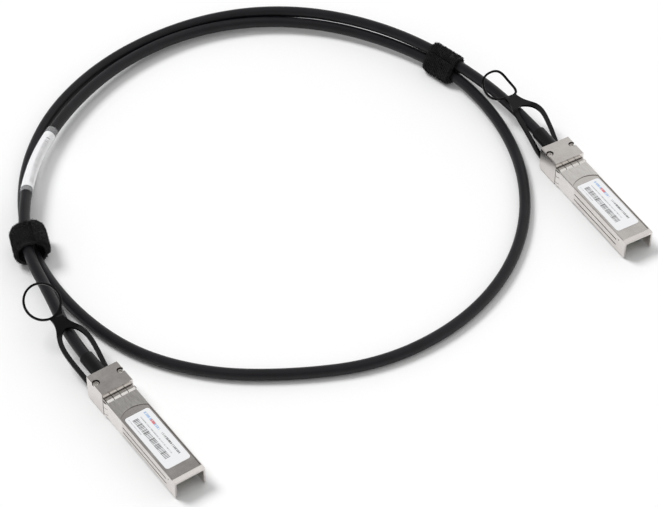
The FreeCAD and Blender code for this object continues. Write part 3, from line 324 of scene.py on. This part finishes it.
def fabric(name, place, yaw, dark, light):
    """Hook-and-loop webbing: rows of hooks across the strap over a woven ground, the rows painted lighter as a
    highlight.
    """
    m = Nodes(name)
    at = m.local(*place, 0, yaw)
    along, _, _ = m.axes(at)
    rows = m.math("SINE", m.math("MULTIPLY", along, 2 * math.pi / HOOK_PITCH))
    fuzz = m.noise(at, 4.5, 3.0, 0.7)
    # painted highlight: the rows of hooks lighter in colour, added to the woven ground's random tone
    tone = m.math("ADD", m.range(rows, -1.0, 1.0, 0.0, 0.55), m.spread(fuzz, 0.0, 0.6))
    m.shade("Base Color", m.mix(tone, dark, light))
    m.shade("Roughness", 0.6)
    m.shade("Specular IOR Level", 0.3)
    height = m.math("ADD", m.math("MULTIPLY", rows, 0.5), fuzz)
    m.bump(height, 0.8, 0.0003)
    return m.material


def plug_print(name, plug):
    """White label on a plug with rows of plain bars, the last of them blue with a red block in it."""
    m = Nodes(name)
    (x, y), yaw = PLUGS[plug]
    at = m.local(x, y, 0, yaw)
    along, across, _ = m.axes(at)
    ink = LABEL_WHITE
    for along_limits, across_limits, pitch, share, seed, strength, colour in PRINT_ROWS:
        row = m.math("MULTIPLY", m.patch(along, across, along_limits, across_limits),
                     m.bars(along, pitch, share, seed))
        ink = m.mix(m.math("MULTIPLY", row, strength), ink, colour)
    red = m.math("MULTIPLY", row, m.within(along, *RED_BARS))
    ink = m.mix(m.math("MULTIPLY", red, RED_STRENGTH), ink, LABEL_RED)
    m.shade("Base Color", ink)
    m.shade("Roughness", 0.42)
    m.bump(m.noise(at, 1.6, 3.0, 0.5), 0.08, 0.00002)
    return m.material


def wrap_print(name):
    """White paper under the clear wrap, with short ticks along one side."""
    m = Nodes(name)
    x, y, _ = m.axes(m.local(*WRAP_MIDDLE, WRAP_YAW))
    bent = m.math("ADD", y, m.math("MULTIPLY", m.math("MULTIPLY", x, x), WRAP_SAG))
    row = m.patch(x, bent, TICKS_ALONG, TICKS_ACROSS)
    ticks = m.math("MULTIPLY", row, m.bars(x, TICK_PITCH, TICK_SHARE, TICK_SEED))
    m.shade("Base Color", m.mix(m.math("MULTIPLY", ticks, TICK_STRENGTH), WRAP_WHITE, LABEL_INK))
    m.shade("Roughness", 0.5)
    m.bump(m.noise(m.place(), 1600.0, 3.0, 0.5), 0.08, 0.00002)
    return m.material


def clear_film():
    """Clear wrap over the cable's label."""
    m = Nodes("clear_film")
    at = m.place()
    ripple = m.noise(at, 700.0, 2.0, 0.5)
    m.shade("Base Color", (0.80, 0.80, 0.82))
    m.shade("Roughness", m.spread(ripple, 0.10, 0.24))
    m.shade("Alpha", 0.16)
    m.bump(ripple, 0.3, 0.0001)
    return m.material


SLOTS = {
    "die_casting": cast_metal("cast_nickel", (0.68, 0.64, 0.615), (0.80, 0.765, 0.74), 0.16, 0.27),
    "spring_sheet": brushed_metal("spring_sheet", (0.76, 0.73, 0.705), (0.87, 0.845, 0.82), 0.2, ALONG_SHEET),
    "latch_steel": brushed_metal("latch_steel", (0.45, 0.45, 0.46), (0.6, 0.6, 0.61), 0.35, ALONG_SHEET),
    "screw_steel": brushed_metal("screw_steel", (0.62, 0.59, 0.56), (0.8, 0.77, 0.74), 0.25,
                                 (3000.0, 3000.0, 500.0)),
    "crimp_metal": brushed_metal("crimp_metal", (0.6, 0.55, 0.42), (0.72, 0.66, 0.5), 0.35,
                                 (2500.0, 500.0, 2500.0)),
    "copper_braid": brushed_metal("copper_braid", (0.5, 0.36, 0.27), (0.7, 0.55, 0.44), 0.4,
                                  (2500.0, 2500.0, 2500.0)),
    "gold_plating": brushed_metal("gold_plating", (0.78, 0.58, 0.22), (0.86, 0.68, 0.3), 0.2,
                                  (2500.0, 400.0, 2500.0)),
    "card_laminate": moulded("card_laminate", (0.03, 0.06, 0.04), (0.05, 0.09, 0.06), 0.35, 2500.0, 0.00002),
    "chip_mould": moulded("chip_mould", (0.02, 0.02, 0.022), (0.04, 0.04, 0.042), 0.6, 3500.0, 0.00003),
    "wire_insulation": moulded("wire_insulation", (0.6, 0.58, 0.52), (0.72, 0.7, 0.64), 0.4, 2500.0, 0.00002),
    "boot_rubber": moulded("boot_rubber", (0.003, 0.003, 0.0035), (0.006, 0.006, 0.007), 0.45, 2500.0, 0.00004,
                           0.22),
    "tab_polymer": moulded("tab_polymer", (0.001, 0.001, 0.0012), (0.002, 0.002, 0.0024), 0.14, 1500.0,
                           0.00002, 0.22),
    "cable_jacket": moulded("cable_jacket", (0.0055, 0.0052, 0.0068), (0.009, 0.0086, 0.0112), 0.45, 2200.0,
                            0.00004, 0.3),
    "clear_film": clear_film(),
}
OWN = {
    "left_strap": fabric("left_strap", LEFT_STRAP, LEFT_STRAP_YAW, STRAP_DARK, STRAP_TONE_AND_HIGHLIGHT),
    "upper_strap": fabric("upper_strap", UPPER_STRAP, UPPER_STRAP_YAW, STRAP_DARK, STRAP_TONE_AND_HIGHLIGHT),
    "plug_label_a": plug_print("plug_label_a", "a"),
    "plug_label_b": plug_print("plug_label_b", "b"),
    "cable_label": wrap_print("cable_label"),
}

for part in frame["record"]["subparts"]:
    node = part["node"]
    material = OWN[node] if node in OWN else SLOTS[part["material_slot"]]
    mesh = nodes[node].data
    mesh.materials.clear()
    mesh.materials.append(material)


# ---------------------------------------- hooks on the straps
def outer_faces(obj, centre, along):
    """Triangles of a strap that face outwards or lie on its rims, with their normals and areas."""
    mesh = obj.data
    mesh.calc_loop_triangles()
    to_row = obj.matrix_world
    spots = [to_row @ v.co for v in mesh.vertices]
    triangles = []
    areas = []
    for tri in mesh.loop_triangles:
        a, b, c = (spots[i] for i in tri.vertices)
        normal = (b - a).cross(c - a)
        area = normal.length / 2
        if area == 0:
            continue
        normal.normalize()
        outward = (a + b + c) / 3 - centre
        outward -= along * outward.dot(along)
        rim = abs(normal.dot(along)) > RIM_NORMAL
        if rim or normal.dot(outward) > 0:
            triangles.append((a, b, c, normal))
            areas.append(area)
    return triangles, areas


def strap_hooks(name, place, yaw):
    """Small bent hooks in rows over the outside and the rims of a strap."""
    draw = random.Random(name)
    along = Matrix.Rotation(math.radians(yaw), 3, "Z") @ Vector((1, 0, 0))
    centre = Vector((place[0], place[1], STRAP_MIDDLE)) * MM
    triangles, areas = outer_faces(nodes[name], centre, along)
    vertices = []
    faces = []
    for a, b, c, normal in draw.choices(triangles, areas, k=HOOKS):
        u, v = draw.random(), draw.random()
        if u + v > 1:
            u, v = 1 - u, 1 - v
        root = a + (b - a) * u + (c - a) * v
        if abs(normal.dot(along)) < FLAT_NORMAL:
            step = (root - centre).dot(along) / (HOOK_PITCH * MM)
            root += along * (round(step) - step) * HOOK_PITCH * MM * ROW_PULL
        side = along.cross(normal)
        side = (side + Vector(draw.uniform(-HOOK_SCATTER, HOOK_SCATTER) for _ in range(3))).normalized()
        across = normal.cross(side).normalized()
        tall = HOOK_HEIGHT * MM * draw.uniform(SHORTEST_HOOK, 1.0)
        thick = HOOK_THICKNESS * MM / 2
        if root.z < 2 * tall:
            continue
        rings = [(root - normal * thick, 1.0)]
        rings += [(root + normal * tall * up + side * tall * out, share) for up, out, share in HOOK_RINGS]
        first = len(vertices)
        for spot, share in rings:
            for turned in (0, 1, 2):
                angle = turned * 2 * math.pi / 3
                vertices.append(spot + (side * math.cos(angle) + across * math.sin(angle)) * thick * share)
        for ring in (0, 1):
            low = first + 3 * ring
            for turned in (0, 1, 2):
                after = (turned + 1) % 3
                faces.append((low + turned, low + after, low + 3 + after, low + 3 + turned))
        faces.append((first + 6, first + 7, first + 8))
    data = bpy.data.meshes.new(name + "_hooks")
    data.from_pydata(vertices, [], faces)
    data.materials.append(OWN[name])
    hooks = bpy.data.objects.new(name + "_hooks", data)
    bpy.context.scene.collection.objects.link(hooks)
    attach(hooks, "cable_set")
    return hooks


# ---------------------------------------- the pull tabs
def on_circle(degrees):
    """Point of the round loop."""
    angle = math.radians(degrees)
    return (LOOP_CENTRE[0] + LOOP_RADIUS * math.cos(angle), LOOP_CENTRE[1] + LOOP_RADIUS * math.sin(angle))


def round_loop():
    """Points of the round loop, all the way round."""
    return [on_circle(360 / ROUND_POINTS * k) for k in range(ROUND_POINTS)]


def flare_outline():
    """Outline of the flare at the foot of the round loop."""
    first, last = FLARE_ARC
    arc = [on_circle(first + (last - first) * k / FLARE_STEPS) for k in range(FLARE_STEPS + 1)]
    return FLARE_LOW + arc + FLARE_HIGH


def along_loop(loop):
    """Spots along a smooth closed curve through the points, each with the direction of travel."""
    points = [Vector(p) for p in loop]
    count = len(points)
    for i in range(count):
        a, b, c, d = (points[(i + k) % count] for k in (-1, 0, 1, 2))
        for step in range(LOOP_STEPS):
            t = step / LOOP_STEPS
            spot = ((b * 2) + (c - a) * t + (a * 2 - b * 5 + c * 4 - d) * t * t
                    + (b * 3 - a - c * 3 + d) * t ** 3) / 2
            way = ((c - a) + (a * 2 - b * 5 + c * 4 - d) * 2 * t + (b * 3 - a - c * 3 + d) * 3 * t * t) / 2
            yield spot, way.normalized()


def bent_tab(plug, loop, flare=()):
    """Pull tab: the CAD's arms and plate with a thinner loop, and a flare at its foot if one is given."""
    tip, yaw = PLUGS[plug]
    to_plug = Matrix.Translation((tip[0] * MM, tip[1] * MM, 0)) @ Matrix.Rotation(math.radians(yaw), 4, "Z")
    to_loop = (to_plug @ Matrix.Translation((TAB_FOLD * MM, 0, TAB_WAIST_HEIGHT * MM))
               @ Matrix.Rotation(-math.radians(TAB_FOLD_ANGLE), 4, "Y"))
    source = nodes["pull_tab_" + plug]
    shape = bmesh.new()
    shape.from_mesh(source.data)
    shape.transform(source.matrix_world)
    bmesh.ops.remove_doubles(shape, verts=shape.verts, dist=TAB_WELD * MM)
    from_plug = to_plug.inverted()
    limit = (TAB_FOLD + TAB_THICKNESS / 2 + TAB_CUT_MARGIN) * MM
    raised = [v for v in shape.verts if (from_plug @ v.co).x > limit]
    bmesh.ops.delete(shape, geom=raised, context="VERTS")
    wide, high, cut = LOOP_BAND / 2, TAB_THICKNESS / 2, LOOP_CHAMFER
    section = ((wide, high - cut), (wide - cut, high), (cut - wide, high), (-wide, high - cut),
               (-wide, cut - high), (cut - wide, -high), (wide - cut, -high), (wide, cut - high))
    rings = []
    for spot, way in along_loop(loop):
        rings.append([shape.verts.new(to_loop @ (Vector((spot.x + way.y * a, spot.y - way.x * a, b)) * MM))
                      for a, b in section])
    for ring, after in zip(rings, rings[1:] + rings[:1]):
        for k, corner in enumerate(ring):
            following = (k + 1) % len(ring)
            shape.faces.new((corner, ring[following], after[following], after[k]))
    if flare:
        below, above = ([shape.verts.new(to_loop @ (Vector((u, v, w)) * MM)) for u, v in flare]
                        for w in (-high, high))
        shape.faces.new(below)
        shape.faces.new(above)
        for k, corner in enumerate(below):
            following = (k + 1) % len(below)
            shape.faces.new((corner, below[following], above[following], above[k]))
    data = bpy.data.meshes.new("bent_tab_" + plug)
    bmesh.ops.recalc_face_normals(shape, faces=shape.faces)
    shape.to_mesh(data)
    shape.free()
    data.shade_smooth()
    data.set_sharp_from_angle(angle=math.radians(TAB_SHARP_ANGLE))
    data.materials.append(SLOTS["tab_polymer"])
    tab = bpy.data.objects.new("bent_tab_" + plug, data)
    bpy.context.scene.collection.objects.link(tab)
    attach(tab, "pull_" + plug)
    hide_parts("pull_tab_" + plug)


# ---------------------------------------- the cable
def cable():
    """The cable's smooth line, a free cord between the two boots."""
    curve = bpy.data.curves.new("jacket", "CURVE")
    curve.dimensions = "3D"
    spline = curve.splines.new("NURBS")
    spline.points.add(len(ROUTE) - 1)
    for point, (x, y, z) in zip(spline.points, ROUTE):
        point.co = (x * MM, y * MM, z * MM, 1.0)
    spline.order_u = 3
    spline.use_endpoint_u = True
    spline.resolution_u = 12
    curve.bevel_depth = CABLE_RADIUS * MM
    curve.bevel_resolution = 8
    curve.use_fill_caps = True
    obj = bpy.data.objects.new("jacket", curve)
    bpy.context.scene.collection.objects.link(obj)
    curve.materials.append(SLOTS["cable_jacket"])
    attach(obj, "cable_set")
    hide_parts("cable")
    pieces = [nodes[n] for n in ("left_strap", "upper_strap", "cable_label", "label_film")]
    pieces.append(strap_hooks("left_strap", LEFT_STRAP, LEFT_STRAP_YAW))
    pieces.append(strap_hooks("upper_strap", UPPER_STRAP, UPPER_STRAP_YAW))


cable()


# ---------------------------------------- floor, light and camera, in metres and degrees
# how bright the studio is at each height of the view direction, from the horizon at 0 to overhead at 1
STUDIO = ((0.0, 0.62), (0.5, 0.62), (0.66, 0.5), (0.74, 0.28), (0.84, 0.3), (0.92, 0.95), (1.0, 1.0))
STUDIO_STRENGTH = 1.66
SIDE_DIM = 0.5
SIDE_SPAN = (0.25, 0.52)
SUN_HEIGHT = 52
SUN_HEADING = 112
SUN_WIDTH = 24
SUN_STRENGTH = 2.0
FLOOR_REACH = 6.0
CAMERA_PLACE = (-0.405, -0.5574, 0.7259)
CAMERA_PITCH = 45.87
CAMERA_HEADING = (0.5781, 0.8160)
LENS = 136.1
SENSOR = 36.0


def stage():
    """Pale floor that keeps the shadows."""
    mesh = bpy.data.meshes.new("floor")
    corners = [(x * FLOOR_REACH, y * FLOOR_REACH, 0) for x, y in ((-1, -1), (1, -1), (1, 1), (-1, 1))]
    mesh.from_pydata(corners, [], [(0, 1, 2, 3)])
    floor = bpy.data.objects.new("floor", mesh)
    bpy.context.scene.collection.objects.link(floor)
    m = Nodes("floor")
    m.shade("Base Color", (0.93, 0.93, 0.935))
    m.shade("Roughness", 0.6)
    m.shade("Specular IOR Level", 0.15)
    mesh.materials.append(m.material)


def world():
    """White surroundings for the camera; for light and reflections a studio.

    The studio is bright near the horizon and overhead and dimmer in between, and everything but its +X side
    is dimmed again.
    """
    scene = bpy.context.scene
    w = bpy.data.worlds.new("studio")
    scene.world = w
    w.use_nodes = True
    tree = w.node_tree
    tree.nodes.clear()
    out = tree.nodes.new("ShaderNodeOutputWorld")
    light = tree.nodes.new("ShaderNodeBackground")
    plain = tree.nodes.new("ShaderNodeBackground")
    pick = tree.nodes.new("ShaderNodeMixShader")
    path = tree.nodes.new("ShaderNodeLightPath")
    coord = tree.nodes.new("ShaderNodeTexCoord")
    split = tree.nodes.new("ShaderNodeSeparateXYZ")
    ramp = tree.nodes.new("ShaderNodeValToRGB")
    tree.links.new(coord.outputs["Generated"], split.inputs[0])
    tree.links.new(split.outputs[2], ramp.inputs[0])
    stops = ramp.color_ramp.elements
    stops[0].position = STUDIO[0][0]
    stops[1].position = STUDIO[-1][0]
    for position, _ in STUDIO[1:-1]:
        stops.new(position)
    for stop, (_, level) in zip(stops, STUDIO):
        stop.color = (level, level, level * 0.99, 1)
    side = tree.nodes.new("ShaderNodeMapRange")
    for socket, value in (("From Min", SIDE_SPAN[0]), ("From Max", SIDE_SPAN[1]), ("To Min", SIDE_DIM),
                          ("To Max", 1.0)):
        side.inputs[socket].default_value = value
    tree.links.new(split.outputs[0], side.inputs["Value"])
    tree.links.new(ramp.outputs[0], light.inputs[0])
    dim = tree.nodes.new("ShaderNodeMath")
    dim.operation = "MULTIPLY"
    dim.inputs[1].default_value = STUDIO_STRENGTH
    tree.links.new(side.outputs[0], dim.inputs[0])
    tree.links.new(dim.outputs[0], light.inputs[1])
    plain.inputs[0].default_value = (1, 1, 1, 1)
    plain.inputs[1].default_value = 1.0
    tree.links.new(path.outputs["Is Camera Ray"], pick.inputs[0])
    tree.links.new(light.outputs[0], pick.inputs[1])
    tree.links.new(plain.outputs[0], pick.inputs[2])
    tree.links.new(pick.outputs[0], out.inputs[0])


def sun():
    """Broad light from one side, for the soft shadows; it isn't mirrored in the metal."""
    data = bpy.data.lights.new("key", "SUN")
    data.energy = SUN_STRENGTH
    data.angle = math.radians(SUN_WIDTH)
    lamp = bpy.data.objects.new("key", data)
    height = math.radians(SUN_HEIGHT)
    heading = math.radians(SUN_HEADING)
    level = math.cos(height)
    towards = Vector((math.cos(heading) * level, math.sin(heading) * level, math.sin(height)))
    lamp.rotation_euler = towards.to_track_quat("Z", "Y").to_euler()
    lamp.visible_glossy = False
    bpy.context.scene.collection.objects.link(lamp)


def camera():
    """Camera at the product view: from the front left, well above."""
    data = bpy.data.cameras.new("camera")
    data.sensor_fit = "HORIZONTAL"
    data.sensor_width = SENSOR
    data.lens = LENS
    data.clip_start = 0.05
    data.clip_end = 20
    cam = bpy.data.objects.new("camera", data)
    cam.location = CAMERA_PLACE
    pitch = math.radians(CAMERA_PITCH)
    heading = Vector(CAMERA_HEADING).normalized()
    direction = Vector((heading.x * math.cos(pitch), heading.y * math.cos(pitch), -math.sin(pitch)))
    cam.rotation_euler = direction.to_track_quat("-Z", "Y").to_euler()
    bpy.context.scene.collection.objects.link(cam)
    bpy.context.scene.camera = cam


bent_tab("a", round_loop(), flare_outline())
bent_tab("b", PRESSED_LOOP)
stage()
world()
sun()
camera()
bpy.context.scene.view_settings.view_transform = "Standard"
